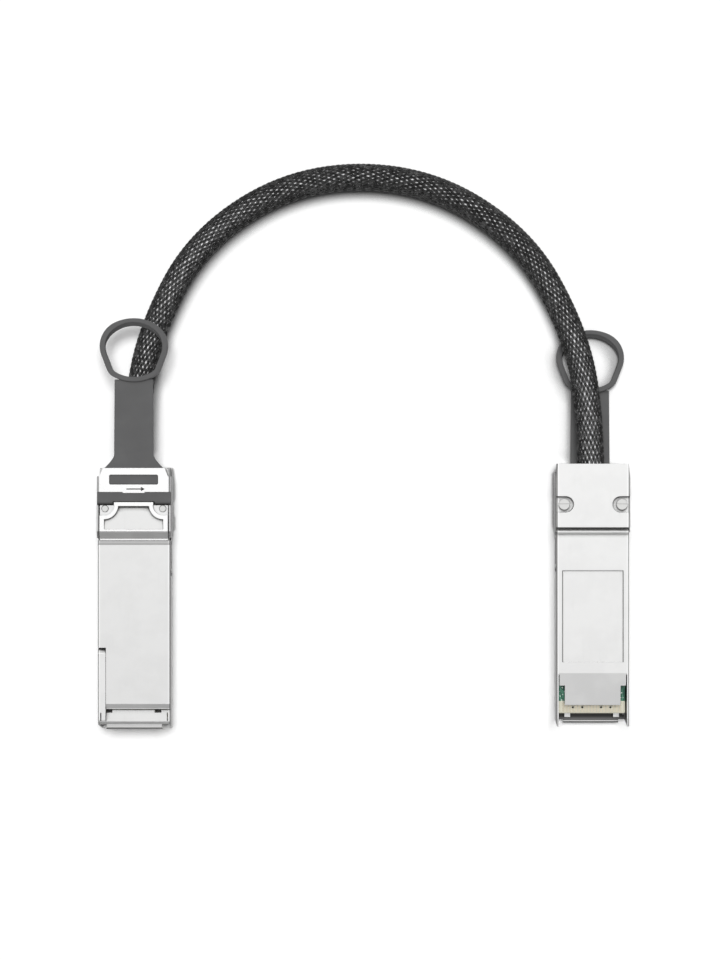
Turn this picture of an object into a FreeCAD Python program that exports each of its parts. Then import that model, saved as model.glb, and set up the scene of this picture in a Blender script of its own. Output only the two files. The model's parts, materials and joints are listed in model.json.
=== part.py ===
"""Direct attach copper cable: two identical die-cast plugs with pull-ring release, joined by one
braided cable bent into an arch.  Millimetres, +Z up, floor at z = 0.

The left plug lies with its release side up.  The right plug is the same plug turned over.
Inside a plug, a station is the distance from its rear edge towards its nose, a height is measured
from the middle of the nose, and x runs across the plug.
"""
import FreeCAD, Part
import math
import os

Vector = FreeCAD.Vector

# ---- overall plug
nose_width = 18.35
nose_height = 8.5
nose_length = 48.5
rear_length = 18.4
rear_width = 18.8          # across the belly ledges and the release arms
rear_rise = 1.5            # top rim above the nose
rear_drop = 1.0            # belly below the nose
running_gap = 0.1          # sliding pieces
seat_gap = 0.05            # pieces laid beside each other
edge_round = 0.3

# ---- die-cast shells
wall = 0.9                 # cover plate and belly plate
side_wall = 1.175
mouth_wall = 0.475         # side walls beside the card
split_rear = 2.6           # height where the cover sits on the base, behind the collar
roof_thickness = 1.35      # cover over the cable
arm_channel_depth = 0.55
ledge_height = 3.15
ledge_setback = 1.0        # the ledges stop short of the collar
ledge_taper = 3.7
ledge_taper_depth = 0.35

# ---- top panel of the cover
rim_width = 1.0
panel_depth = 0.65         # at its rear
panel_front_depth = 0.2
panel_rear = 9.45
panel_setback = 2.3        # front of the panel, back from the collar
panel_lip_rear = 8.7
panel_lip_half = 5.0
panel_inset = 0.15         # the panel stays inside the release arms
scallop_radius = 2.6
scallop_x = 7.5
corner_depth = 1.05
ramp_setback = 0.4
ramp_drop = 0.85

# ---- mouth of the plug, measured back from the foremost edge, the side walls' lower ends
walls_back = 1.2           # upper ends of the side walls
lip_back = 0.4
lip_half = 7.1
lip_slope_length = 0.6
lip_drop = 0.35            # flange in front of the bar, below the bar's top
bar_shoulder_drop = 0.7    # where the side walls' ends start to slope in
roof_back = 2.3
bar_back = 5.3
bar_step = 0.6             # front bar below the nose top
bar_thickness = 0.65
cover_back = 5.5
cover_slope_length = 1.1
cover_slope_drop = 0.35
hook_width = 1.5
hook_thickness = 0.6
hook_back = 1.9
hook_x = (-6.45, 6.05)
hook_drop = 1.25           # hook below the bar's underside
hook_leg = 0.8
window_length = 0.75
front_slot_x = 8.35
front_slot_width = 0.25
front_slot_length = 2.1
key_rail_width = 1.925
key_rail_back = 20.85
key_rail_chamfer = 1.15
cavity_step_back = 16.9    # where the cavity widens for the card
card_rib = 1.0             # ledge and rib that hold the card's rear half

# ---- belly tongue
tongue_bend_back = 13.6
tongue_slot_back = 13.2
tongue_neck_back = 10.4
tongue_end_back = 5.4
tongue_slot = 0.2
tongue_neck_half = 7.1
tongue_sink = 0.75
tongue_thickness = 0.75

# ---- belly details
belly_step_setback = 2.2
belly_groove = 0.8
belly_groove_height = 1.25
belly_rib = 0.6
label_start = 8.8          # from the collar
label_length = 23.3
label_half = 7.7
label_depth = 0.15
pocket_radius = 2.05
pocket_depth = 0.55
pocket_shift = 0.4         # pocket's centre, inwards from the screw

# ---- case screws
screw_x = 7.35
screw_station = 10.35
screw_radius = 0.8
screw_clearance = 0.08
screw_head_radius = 1.36
screw_head_height = 0.45
screw_slot = 0.3
screw_tip = 0.25

# ---- release slider, a bent steel sheet
sheet = 0.45
bridge_length = 6.1
bridge_corner = 0.8
bridge_corner_length = 2.1
bridge_bend = 0.7
skirt_height = 2.05        # skirt reaches this far below the nose's middle
window_half = 6.2
bridge_window_start = 1.7
bridge_window_end = 4.2
window_corner = 0.4
arrow_half = 2.8
arrow_depth = 0.12
arrow_width = 0.25
arrow_head = 0.9
arrow_tail = 1.0           # bare stretch behind the shaft
pill_reach = 0.25
arm_half_height = 1.45
plate_drop = 0.25          # the side plates' upper edge under the rim
arm_joggle_setback = 0.6
arm_joggle_length = 1.2
arm_tip_reach = 7.1        # straight part of the arm, on from the collar
arm_tip_length = 1.7
arm_tip_flare = 0.35
spring_tab_setback = 1.25
spring_tab_reach = 1.95
release_travel = 1.8

# ---- return springs
spring_radius = 0.85
spring_wire = 0.24
spring_turns = 6
spring_pocket_half = 0.95
spring_pocket_rear = 11.9

# ---- pull tab, one rubber moulding
strap_thickness = 1.2
strap_root_half = 7.45
strap_half = 5.0
strap_end_half = 4.85
strap_flare = 3.1
strap_flare_curve = 1.3
tbar_front = 9.35
tbar_recess_front = 8.6
tbar_recess_half = 5.35
tbar_round = 0.6
ring_reach = 38.1
right_tuck = 3.7           # the right strap and its flare sit this much further in
ring_height = 2.6
ring_length = 16.2
ring_crown_band = 0.95
ring_side_band = 1.33
ring_foot_band = 1.25
ring_crown_slope = 1.0     # the hole's crown wall leans in by this much at half height
ring_round = 0.3
ring_crown_x = 2.0
ring_crown_drop = 7.1
ring_crown_radius = 6.65
ring_foot_x = 3.7
ring_foot_rise = 4.25
ring_foot_radius = 3.3

# ---- cable and what holds it
cable_diameter = 6.95
sleeve_wall = 0.35
cable_height = -0.55
cable_gap = 0.075
ferrule_station = 7.7
ferrule_length = 4.2
ferrule_radius = 3.9
ferrule_bore = 2.75
ferrule_neck = 0.35

# ---- paddle card
card_width = 17.0
card_rear_width = 15.6
card_thickness = 1.0
card_top = 0.3
card_back = 3.1
card_length = 23.5
card_bevel = 0.25
pad_pitch = 0.8
pad_count = 19
pad_width = 0.54
pad_length = 2.4
pad_thickness = 0.04
pad_setback = 0.3
via_radius = 0.28
via_setback = 1.5
via_pads = (-6, -3, 3, 6)
card_seat_length = 4.0
chip_size = (3.0, 2.4, 0.75)
chip_x = 1.0
pair_diameter = 1.3
pair_ring = 1.85
pair_pitch = 3.0
pair_straight = 4.8
potting_half = 6.9
potting_length = 6.0
potting_cover = 1.9

# ---- how the plugs lie
plug_pitch = 116.8
plug_stagger = 1.1         # the right plug lies this much further back

# ---- values that follow
front = rear_length + nose_length
nose_half = nose_width / 2
nose_top = nose_height / 2
nose_belly = -nose_top
ledge_front = rear_length - ledge_setback
panel_front = rear_length - panel_setback
ramp_front = rear_length - ramp_setback
belly_step = rear_length - belly_step_setback
arm_joggle_start = rear_length - arm_joggle_setback
arm_tip_start = rear_length + arm_tip_reach
spring_tab_station = rear_length - spring_tab_setback
rim_top = nose_top + rear_rise
rear_belly = nose_belly - rear_drop
rear_half = rear_width / 2
split_nose = nose_top - wall
core_half = rear_half - arm_channel_depth
cover_half = core_half - panel_inset
roof_top = split_rear + roof_thickness
corner_top = rim_top - corner_depth
cavity_floor = nose_belly + wall
cavity_half = nose_half - side_wall
mouth_half = nose_half - mouth_wall
cavity_step = front - cavity_step_back
walls_front = front - walls_back
lip_front = front - lip_back
roof_front = front - roof_back
bar_rear = front - bar_back
bar_top = nose_top - bar_step
bar_under = bar_top - bar_thickness
cover_front = front - cover_back
bridge_top = rim_top - seat_gap * 2
bridge_under = bridge_top - sheet
strap_under = roof_top + seat_gap
strap_top = strap_under + strap_thickness
ring_top = bridge_top
ring_bottom = ring_top - ring_height
ledge_top = rear_belly + ledge_height
card_bottom = card_top - card_thickness
card_front = front - card_back
card_rear = card_front - card_length
card_seat_rear = cavity_step - card_seat_length
spring_x = core_half - spring_pocket_half + seat_gap
cable_radius = cable_diameter / 2
cable_bore = cable_radius + cable_gap
ferrule_seat = ferrule_radius + seat_gap
ferrule_front = ferrule_station + ferrule_length
fan_half = screw_x - screw_head_radius
pocket_x = screw_x - pocket_shift
left_rear_y = (front - ring_reach) / 2
right_rear_y = left_rear_y + plug_stagger
left_rest = -rear_belly
right_rest = rim_top


# ---- drawing helpers
def block(x0, x1, s0, s1, z0, z1):
    """A box between two x, two stations and two heights."""
    return Part.makeBox(x1 - x0, s1 - s0, z1 - z0, Vector(x0, -s1, z0))


def side_profile(points, x0, x1):
    """A closed outline of (station, height) points, pulled across the plug from x0 to x1."""
    corners = [Vector(x0, -s, z) for s, z in points]
    return Part.Face(Part.makePolygon(corners + corners[:1])).extrude(Vector(x1 - x0, 0, 0))


def plan_profile(points, z0, z1):
    """A closed outline of (x, station) points, pulled up from z0 to z1."""
    corners = [Vector(x, -s, z0) for x, s in points]
    return Part.Face(Part.makePolygon(corners + corners[:1])).extrude(Vector(0, 0, z1 - z0))


def mirrored(points):
    """A right-hand half outline, closed with its mirror image."""
    return list(points) + [(-x, s) for x, s in reversed(points)]


def post(x, station, radius, z0, z1):
    """An upright cylinder."""
    return Part.makeCylinder(radius, z1 - z0, Vector(x, -station, z0))


def rod(x, z, radius, s0, s1):
    """A cylinder lying along the plug."""
    return Part.makeCylinder(radius, s1 - s0, Vector(x, -s1, z), Vector(0, 1, 0))


def both_sides(shape):
    """A shape with its mirror image across the plug."""
    return shape.fuse(shape.mirror(Vector(0, 0, 0), Vector(1, 0, 0)))


def rounded(shape, radius, chosen):
    """Fillets the edges that chosen(edge) accepts."""
    return shape.makeFillet(radius, [edge for edge in shape.Edges if chosen(edge)])


def is_upright(edge, x):
    """True for a vertical edge at +x or -x."""
    box = edge.BoundBox
    return box.XLength < 1e-6 and box.YLength < 1e-6 and abs(abs(box.XMin) - x) < 1e-6


# ---- the two castings
def base_shell():
    """The lower casting: belly plate, side walls, mouth, tongue and the half that holds the cable."""
    groove_top = rear_belly + belly_groove_height
    rib_rear = belly_step + belly_groove
    rib_front = rib_rear + belly_rib
    rib_belly = (rear_belly + nose_belly) / 2
    rear = side_profile([(0, rear_belly), (belly_step, rear_belly), (belly_step, groove_top),
                         (rib_rear, groove_top), (rib_rear, rib_belly), (rib_front, rib_belly),
                         (rib_front, nose_belly), (rear_length, nose_belly),
                         (rear_length, split_rear), (0, split_rear)], -rear_half, rear_half)
    side_channel = block(core_half, rear_half, 0, rear_length, ledge_top, split_rear)
    ledge_end = block(nose_half, rear_half, ledge_front, rear_length, rear_belly, ledge_top)
    taper = plan_profile([(rear_half - ledge_taper_depth, 0), (rear_half, 0), (rear_half, ledge_taper)],
                         rear_belly, ledge_top)
    rear = rear.cut(both_sides(side_channel.fuse([ledge_end, taper])))

    bar_shoulder = bar_top - bar_shoulder_drop
    nose = side_profile([(rear_length, nose_belly), (front, nose_belly),
                         (walls_front, bar_shoulder), (roof_front, bar_top), (bar_rear, bar_top),
                         (bar_rear, split_nose), (rear_length, split_nose)], -nose_half, nose_half)
    nose = rounded(nose, edge_round, lambda edge: edge.BoundBox.XLength < 1e-6
                   and edge.BoundBox.ZLength > nose_top and edge.BoundBox.YMax < -walls_front + 1e-6)
    rail_rear = front - key_rail_back
    rail_top = nose_top - seat_gap
    rail = side_profile([(rail_rear, split_nose), (rail_rear, bar_top),
                         (rail_rear + key_rail_chamfer, rail_top), (roof_front - edge_round, rail_top),
                         (roof_front, bar_top), (roof_front, split_nose)],
                        -nose_half, -nose_half + key_rail_width)
    flange_top = bar_top - lip_drop
    lip = side_profile([(bar_rear, bar_under), (lip_front, bar_under), (lip_front, flange_top),
                        (roof_front + lip_slope_length, flange_top), (roof_front, bar_top),
                        (bar_rear, bar_top)], -lip_half, lip_half)
    shell = rear.fuse([nose, rail, lip])

    # the hollow, widest beside the card, open at the mouth and over the tongue
    hollow = block(-fan_half, fan_half, ferrule_front, rear_length + side_wall, cavity_floor, nose_top)
    hollow = hollow.fuse([
        block(-cavity_half, cavity_half, rear_length + side_wall, cavity_step, cavity_floor,
              split_nose + seat_gap),
        block(-mouth_half, mouth_half, cavity_step, bar_rear, cavity_floor, split_nose),
        block(-mouth_half, mouth_half, cavity_step, front, cavity_floor, bar_under),
        block(-mouth_half, mouth_half, front - tongue_bend_back, front, nose_belly, cavity_floor)])
    shell = shell.cut(hollow).fuse([tongue(), both_sides(card_ledge())])

    # recesses in the belly, and the seats for the other pieces
    label = block(-label_half, label_half, rear_length + label_start,
                  rear_length + label_start + label_length, nose_belly, nose_belly + label_depth)
    pocket = post(pocket_x, screw_station, pocket_radius, rear_belly, rear_belly + pocket_depth)
    pocket = pocket.fuse(block(pocket_x, rear_half, screw_station - pocket_radius,
                               screw_station + pocket_radius, rear_belly, rear_belly + pocket_depth))
    screw_hole = post(screw_x, screw_station, screw_radius + screw_clearance, rear_belly, split_rear)
    spring_pocket = block(core_half - 2 * spring_pocket_half, core_half, spring_pocket_rear,
                          spring_tab_station + sheet + running_gap,
                          -spring_pocket_half, spring_pocket_half)
    arm_groove = block(nose_half - sheet - 2 * running_gap, rear_half,
                       arm_joggle_start - release_travel - running_gap,
                       arm_tip_start + arm_tip_length + 4 * running_gap,
                       -arm_half_height - running_gap, arm_half_height + running_gap)
    slot_start = bar_rear + window_length
    front_slot = block(front_slot_x, front_slot_x + front_slot_width, slot_start,
                       slot_start + front_slot_length, bar_under, nose_top)
    windows = [block(x - hook_width / 2 - running_gap, x + hook_width / 2 + running_gap,
                     bar_rear, slot_start, bar_under, bar_top) for x in hook_x]
    return shell.cut([label, cable_saddle()] + windows
                     + [both_sides(cut) for cut in (pocket, screw_hole, spring_pocket, arm_groove,
                                                    front_slot)])


def tongue():
    """The belly plate's free end: it slopes up towards the card and narrows beside it."""
    bend = front - tongue_bend_back
    end = front - tongue_end_back
    slope = side_profile([(bend, nose_belly), (end, nose_belly + tongue_sink),
                          (end, nose_belly + tongue_sink + tongue_thickness), (bend, cavity_floor)],
                         -mouth_half, mouth_half)
    slot_start = front - tongue_slot_back
    neck = front - tongue_neck_back
    plan = mirrored([(mouth_half, bend), (mouth_half, slot_start),
                     (mouth_half - tongue_slot, slot_start), (mouth_half - tongue_slot, neck),
                     (tongue_neck_half, neck), (tongue_neck_half, end)])
    return slope.common(plan_profile(plan, nose_belly, nose_top))


def card_ledge():
    """The step inside the side wall that carries the card's rear half."""
    return block(cavity_half - card_rib, cavity_half, card_seat_rear, cavity_step,
                 cavity_floor, card_bottom)


def cable_bores():
    """The round spaces for the cable and its ferrule."""
    cable = rod(0, cable_height, cable_bore, 0, ferrule_station)
    return cable.fuse(rod(0, cable_height, ferrule_seat, ferrule_station, ferrule_front))


def cable_saddle():
    """The base's space for the cable and its ferrule, open upwards so that they drop in."""
    over_cable = block(-cable_bore, cable_bore, 0, ferrule_station, cable_height, split_rear)
    over_ferrule = block(-ferrule_seat, ferrule_seat, ferrule_station, ferrule_front,
                         cable_height, split_rear)
    return cable_bores().fuse([over_cable, over_ferrule])


def top_cover():
    """The upper casting: nose plate, ramp, rimmed panel, strap bed and the clamp over the cable."""
    bed = block(-cover_half, cover_half, 0, panel_rear, split_rear, roof_top)
    bed = rounded(bed, 2 * edge_round, lambda edge: is_upright(edge, cover_half)
                  and edge.BoundBox.YMax > -1e-6)
    lip = block(-panel_lip_half, panel_lip_half, panel_lip_rear, panel_rear, split_rear, rim_top)
    ramp_foot = rim_top - ramp_drop
    panel = side_profile([(panel_rear, split_rear), (panel_rear, rim_top), (panel_front, rim_top),
                          (ramp_front, ramp_foot), (rear_length, ramp_foot),
                          (rear_length, split_rear)], -cover_half, cover_half)
    slope_end = cover_front - seat_gap * 4
    plate = side_profile([(rear_length, split_nose), (rear_length, nose_top),
                          (slope_end - cover_slope_length, nose_top),
                          (slope_end, nose_top - cover_slope_drop),
                          (cover_front, nose_top - cover_slope_drop), (cover_front, split_nose)],
                         -nose_half, nose_half)
    plate = plate.cut(block(-nose_half, -nose_half + key_rail_width + seat_gap,
                            front - key_rail_back - 5 * seat_gap, front, split_nose, nose_top))
    cover = bed.fuse([lip, panel, plate])

    # recessed panel, scalloped round the screws, and the low corners that the screws come out of
    scallop = post(scallop_x, panel_rear, scallop_radius + rim_width, split_rear, rim_top)
    recess_rear = panel_lip_rear + rim_width
    recess_front = panel_front - rim_width / 2
    recess = side_profile([(recess_rear, rim_top), (recess_rear, rim_top - panel_depth),
                           (recess_front, rim_top - panel_front_depth), (recess_front, rim_top)],
                          -scallop_x, scallop_x).cut(both_sides(scallop))
    corner = post(scallop_x, panel_rear, scallop_radius, corner_top, rim_top)
    corner = corner.fuse(block(scallop_x, cover_half, panel_rear, panel_rear + scallop_radius,
                               corner_top, rim_top))
    behind_lip = block(-panel_lip_half, panel_lip_half, panel_lip_rear, panel_rear, roof_top, rim_top)
    corner = both_sides(corner).cut(behind_lip)
    core = block(-fan_half, fan_half, ferrule_front, rear_length - side_wall, split_rear,
                 rim_top - panel_depth - wall)
    core = core.fuse(block(-fan_half, fan_half, rear_length - side_wall, rear_length, split_rear,
                           split_nose))
    screw_hole = post(screw_x, screw_station, screw_radius + screw_clearance, split_rear, rim_top)
    cover = cover.cut([recess, corner, core, both_sides(screw_hole)])

    hooks = [hook(x) for x in hook_x]
    ribs = both_sides(block(cavity_half - card_rib, cavity_half - seat_gap, card_seat_rear, cavity_step,
                            card_top, split_nose))
    return cover.fuse(clamp_block()).cut(cable_bores()).fuse([ribs] + hooks)


def clamp_block():
    """The block under the strap bed that presses on the cable and the ferrule."""
    low = cable_height + cable_radius / 3
    over_cable = block(-cable_bore + seat_gap, cable_bore - seat_gap, 0, ferrule_station, low, split_rear)
    over_ferrule = block(-ferrule_seat + seat_gap, ferrule_seat - seat_gap, ferrule_station,
                         ferrule_front, low, split_rear)
    return over_cable.fuse(over_ferrule)


def hook(x):
    """A finger at the cover's front edge that reaches under the base's front bar."""
    top = bar_under - hook_drop + hook_thickness
    leg_rear = cover_front - hook_leg
    points = [(leg_rear, split_nose), (leg_rear, top - hook_thickness),
              (front - hook_back, top - hook_thickness), (front - hook_back, top), (cover_front, top),
              (cover_front, split_nose)]
    return side_profile(points, x - hook_width / 2, x + hook_width / 2)


# ---- the release mechanism
def release_slider():
    """One bent sheet: a bridge over the strap, a skirt and plate each side, and two arms."""
    outer = block(-rear_half, rear_half, 0, bridge_length, -skirt_height, bridge_top)
    outer = rounded(outer, bridge_bend, lambda edge: edge.BoundBox.YLength > 1
                    and edge.BoundBox.ZMin > bridge_top - 1e-6)
    inner = block(-rear_half + sheet, rear_half - sheet, 0, bridge_length, -skirt_height, bridge_under)
    inner = rounded(inner, bridge_bend - sheet, lambda edge: edge.BoundBox.YLength > 1
                    and edge.BoundBox.ZMin > bridge_under - 1e-6)
    flat_half = rear_half - bridge_bend
    corner = plan_profile([(flat_half - bridge_corner, 0), (rear_half, 0),
                           (rear_half, bridge_corner_length), (flat_half, bridge_corner_length)],
                          -skirt_height, bridge_top)
    window = block(-window_half, window_half, bridge_window_start, bridge_window_end,
                   bridge_under, bridge_top)
    window = rounded(window, window_corner, lambda edge: is_upright(edge, window_half))
    bridge = outer.cut(inner).cut([both_sides(corner), window, arrow_mark()])
    pill = block(-arrow_half, arrow_half, bridge_length, bridge_length + pill_reach,
                 bridge_under, bridge_top)
    return bridge.fuse([pill, both_sides(release_arm()), both_sides(side_plate())])


def arrow_mark():
    """A shallow engraved arrow on the bridge."""
    middle = bridge_length - 3 * arrow_width
    z0 = bridge_top - arrow_depth
    neck = arrow_half - arrow_head
    shaft = block(-arrow_half + arrow_tail, neck, middle - arrow_width / 2, middle + arrow_width / 2,
                  z0, bridge_top)
    head = plan_profile([(neck, middle - 2 * arrow_width), (arrow_half, middle),
                         (neck, middle + 2 * arrow_width)], z0, bridge_top)
    return shaft.fuse(head)


def side_plate():
    """The right-hand side plate: on from the skirt, under the T-bar, then nearly as high as the rim."""
    low = strap_under - seat_gap
    rise = tbar_front + running_gap
    high = rim_top - plate_drop
    outline = [(bridge_length, -arm_half_height), (bridge_length, low), (rise, low), (rise, high),
               (panel_front, high), (arm_joggle_start, high - ramp_drop),
               (arm_joggle_start, -arm_half_height)]
    return side_profile(outline, rear_half - sheet, rear_half)


def release_arm():
    """The right-hand arm: along the skirt, inwards into the nose's groove, out again at the tip."""
    outer = rear_half
    groove_outer = nose_half - running_gap
    joggle_end = arm_joggle_start + arm_joggle_length
    tip_end = arm_tip_start + arm_tip_length
    line = [(outer, bridge_length), (outer, arm_joggle_start), (groove_outer, joggle_end),
            (groove_outer, arm_tip_start), (groove_outer + arm_tip_flare, tip_end)]
    plan = line + [(x - sheet, s) for x, s in reversed(line)]
    arm = plan_profile(plan, -arm_half_height, arm_half_height)
    tab = block(rear_half - sheet - spring_tab_reach, rear_half - sheet, spring_tab_station,
                spring_tab_station + sheet, -spring_pocket_half + running_gap,
                spring_pocket_half - running_gap)
    return arm.fuse(tab)


def return_spring(side):
    """A compression spring between the pocket's rear wall and the arm's tab."""
    length = spring_tab_station - spring_pocket_rear - spring_wire
    mean_radius = spring_radius - spring_wire / 2
    helix = Part.makeHelix(length / spring_turns, length, mean_radius)
    section = Part.makePolygon([Vector(mean_radius + spring_wire / 2 * math.cos(a), 0,
                                       spring_wire / 2 * math.sin(a))
                                for a in (math.pi * k / 3 for k in range(7))])
    coil = Part.Wire(helix.Edges).makePipeShell([section], True, True)
    coil.rotate(Vector(0, 0, 0), Vector(1, 0, 0), 90)
    coil.translate(Vector(side * spring_x, -spring_pocket_rear - spring_wire / 2, 0))
    return coil


def pull_tab(reach):
    """One rubber moulding: T-bar in front of the bridge, strap under it, and the finger ring."""
    tuck = ring_reach - reach
    strap_rear = reach - ring_length + ring_foot_band / 2
    straight = [(strap_half, tuck - strap_flare), (strap_end_half, -strap_rear)]
    side = [(strap_root_half, tbar_recess_front), (strap_root_half, tuck)]
    spread = strap_root_half - strap_half
    flare = [(strap_half + spread * f ** strap_flare_curve, tuck - strap_flare * (1 - f))
             for f in (0.8, 0.6, 0.4, 0.2)]
    strap = plan_profile(mirrored(side + flare + straight), strap_under, strap_top)
    bar = block(-rear_half + running_gap, rear_half - running_gap, bridge_length + seat_gap, tbar_front,
                strap_under, bridge_top)
    bar = rounded(bar, tbar_round, lambda edge: edge.BoundBox.YMax < -tbar_front + 1e-6
                  and edge.BoundBox.ZMin > bridge_top - 1e-6)
    recess = block(-tbar_recess_half, tbar_recess_half, tbar_recess_front, tbar_front,
                   strap_under, bridge_top)
    pill_room = block(-arrow_half - seat_gap, arrow_half + seat_gap, bridge_length,
                      bridge_length + pill_reach + seat_gap, bridge_under - seat_gap, bridge_top)
    boss = block(-window_half + running_gap, window_half - running_gap,
                 bridge_window_start + running_gap, bridge_window_end - running_gap,
                 strap_top, bridge_top - running_gap)
    boss = rounded(boss, window_corner, lambda edge: is_upright(edge, window_half - running_gap))
    return strap.fuse([bar.cut([recess, pill_room]), boss, ring(reach)])


def ring(reach):
    """The finger ring: a slab with rounded edges, and a hole whose crown wall leans in at half height."""
    slab = Part.Face(ring_loop(reach, ring_bottom, 0, 0, 0)).extrude(Vector(0, 0, ring_height))
    slab = rounded(slab, ring_round, lambda edge: edge.BoundBox.ZLength < 1e-6)
    bands = (ring_crown_band, ring_side_band, ring_foot_band)
    waist = ring_loop(reach - ring_crown_slope, (ring_bottom + ring_top) / 2, *bands, ring_crown_slope)
    holes = [Part.makeLoft([waist, ring_loop(reach, height, *bands)], True, True)
             for height in (ring_bottom, ring_top)]
    return slab.cut(holes)


def ring_loop(reach, height, crown_band, side_band, foot_band, shortened=0):
    """The ring's outline at a height, set in by a band: two arches, four corner rounds, two sides."""
    foot = reach - ring_length + shortened
    crown_x, crown_y, crown_r = ring_crown_x, reach - ring_crown_drop, ring_crown_radius - side_band
    foot_x, foot_y, foot_r = ring_foot_x, foot + ring_foot_rise, ring_foot_radius - side_band
    slant = math.atan2(foot_y - crown_y, foot_x - crown_x)
    side = slant + math.acos((crown_r - foot_r) / math.hypot(foot_x - crown_x, foot_y - crown_y))
    crown = arch_angle(crown_x, ring_crown_drop - crown_band, crown_r)
    low = -arch_angle(foot_x, ring_foot_rise - foot_band, foot_r)

    def half(way):
        return [Vector(way * (x + r * math.cos(angle)), y + r * math.sin(angle), height)
                for x, y, r, angles in ((crown_x, crown_y, crown_r, (crown, (crown + side) / 2, side)),
                                        (foot_x, foot_y, foot_r, (side, (side + low) / 2, low)))
                for angle in angles]

    right, left = half(1), half(-1)
    top = Vector(0, reach - crown_band, height)
    bottom = Vector(0, foot + foot_band, height)
    arc, line = Part.Arc, Part.LineSegment
    curves = [arc(left[0], top, right[0]), arc(*right[:3]), line(right[2], right[3]), arc(*right[3:]),
              arc(right[5], bottom, left[5]), arc(*left[:2:-1]), line(left[3], left[2]), arc(*left[2::-1])]
    return Part.Wire([curve.toShape() for curve in curves])


def arch_angle(x, rise, radius):
    """Where an arch over the middle touches a round at x whose centre lies this far under its top."""
    arch = (x ** 2 + rise ** 2 - radius ** 2) / (2 * (rise - radius))
    return math.atan2(arch - rise, x)


# ---- what is inside
def case_screws():
    """Two slotted screws, driven from the belly and showing their tips beside the panel."""
    head_under = rear_belly + pocket_depth
    shank = post(screw_x, screw_station, screw_radius, head_under, corner_top + screw_tip)
    head = post(screw_x, screw_station, screw_head_radius, head_under - screw_head_height, head_under)
    slot = block(screw_x - screw_head_radius, screw_x + screw_head_radius,
                 screw_station - screw_slot / 2, screw_station + screw_slot / 2,
                 head_under - screw_head_height, head_under - screw_head_height / 2)
    screw = shank.fuse(head).cut(slot)
    return Part.Compound([screw, screw.mirror(Vector(0, 0, 0), Vector(1, 0, 0))])


def paddle_card():
    """The circuit board: full width beside the mouth, narrower between the ledges."""
    half = card_width / 2
    rear_half_width = card_rear_width / 2
    shoulder = cavity_step + running_gap
    board = plan_profile(mirrored([(rear_half_width, card_rear), (rear_half_width, shoulder),
                                   (half, shoulder), (half, card_front)]), card_bottom, card_top)
    board = board.makeChamfer(card_bevel, [edge for edge in board.Edges
                                           if edge.BoundBox.YMax < -card_front + 1e-6
                                           and edge.BoundBox.XLength > half])
    return board.cut(vias())


def vias():
    """Drilled holes in four of the contact rows."""
    return [post(k * pad_pitch, card_front - via_setback, via_radius,
                 card_bottom - pad_thickness, card_top + pad_thickness) for k in via_pads]


def contact_pads():
    """The gold contacts on both faces of the card's front edge, shorter where a via is drilled."""
    s1 = card_front - pad_setback
    short_start = card_front - via_setback + via_radius + seat_gap
    pads = []
    for k in range(pad_count):
        place = k - (pad_count - 1) // 2
        s0 = short_start if place in via_pads else s1 - pad_length
        x = place * pad_pitch
        for z in (card_top, card_bottom - pad_thickness):
            pads.append(block(x - pad_width / 2, x + pad_width / 2, s0, s1, z, z + pad_thickness))
    return Part.Compound(pads)


def memory_chip():
    """The identification memory on the card's upper face."""
    length, width, height = chip_size
    middle = cavity_step + length
    return block(chip_x, chip_x + width, middle - length / 2, middle + length / 2,
                 card_top, card_top + height)


def cable_ferrule():
    """The crimped collar that holds the cable in its seat."""
    waist = ferrule_radius - ferrule_neck
    collar = rod(0, cable_height, ferrule_radius, ferrule_station, ferrule_front)
    third = ferrule_length / 3
    groove = rod(0, cable_height, ferrule_radius, ferrule_station + third, ferrule_front - third)
    groove = groove.cut(rod(0, cable_height, waist, ferrule_station + third, ferrule_front - third))
    return collar.cut([groove, rod(0, cable_height, ferrule_bore, ferrule_station, ferrule_front)])


def signal_pairs(upper):
    """Four shielded wire pairs, from the cable's end through the ferrule to the potted joints."""
    radius = pair_diameter / 2
    end = card_rear - seat_gap
    end_z = card_top + radius + seat_gap if upper else card_bottom - radius - seat_gap
    pairs = []
    for k in range(4):
        angle = math.pi * (2 * k + 1) / 8
        x0 = pair_ring * math.cos(angle)
        z0 = cable_height + pair_ring * math.sin(angle) * (1 if upper else -1)
        x1 = (1.5 - k) * pair_pitch
        stations = [(x0, ferrule_station, z0), (x0, ferrule_station + pair_straight, z0),
                    (x1, end - pair_straight, end_z), (x1, end, end_z)]
        circles = [Part.Wire(Part.makeCircle(radius, Vector(x, -s, z), Vector(0, 1, 0)))
                   for x, s, z in stations]
        pairs.append(Part.makeLoft(circles, True, True))
    return Part.Compound(pairs)


def joint_potting():
    """The moulded block over the soldered joints, with the card's rear end in it."""
    block_rear = card_rear - seat_gap
    body = block(-potting_half, potting_half, block_rear, block_rear + potting_length,
                 card_bottom - potting_cover, card_top + potting_cover)
    return body.cut(paddle_card())


# ---- the cable
# Route of the cable's middle line, from the left ferrule to the right one.  The first two points
# lie on the left plug's axis and the last two on the right plug's.
CABLE_ROUTE = [
    (-58.40, 6.70, 4.70),
    (-58.40, 28.20, 4.70),
    (-55.10, 49.20, 4.20),
    (-42.26, 73.60, 3.55),
    (-16.46, 89.40, 3.50),
    (15.04, 89.40, 3.50),
    (40.54, 73.60, 3.60),
    (53.80, 50.20, 6.60),
    (58.40, 29.20, 6.30),
    (58.40, 7.80, 6.30),
]
RUN_SHARE = 0.45


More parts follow.
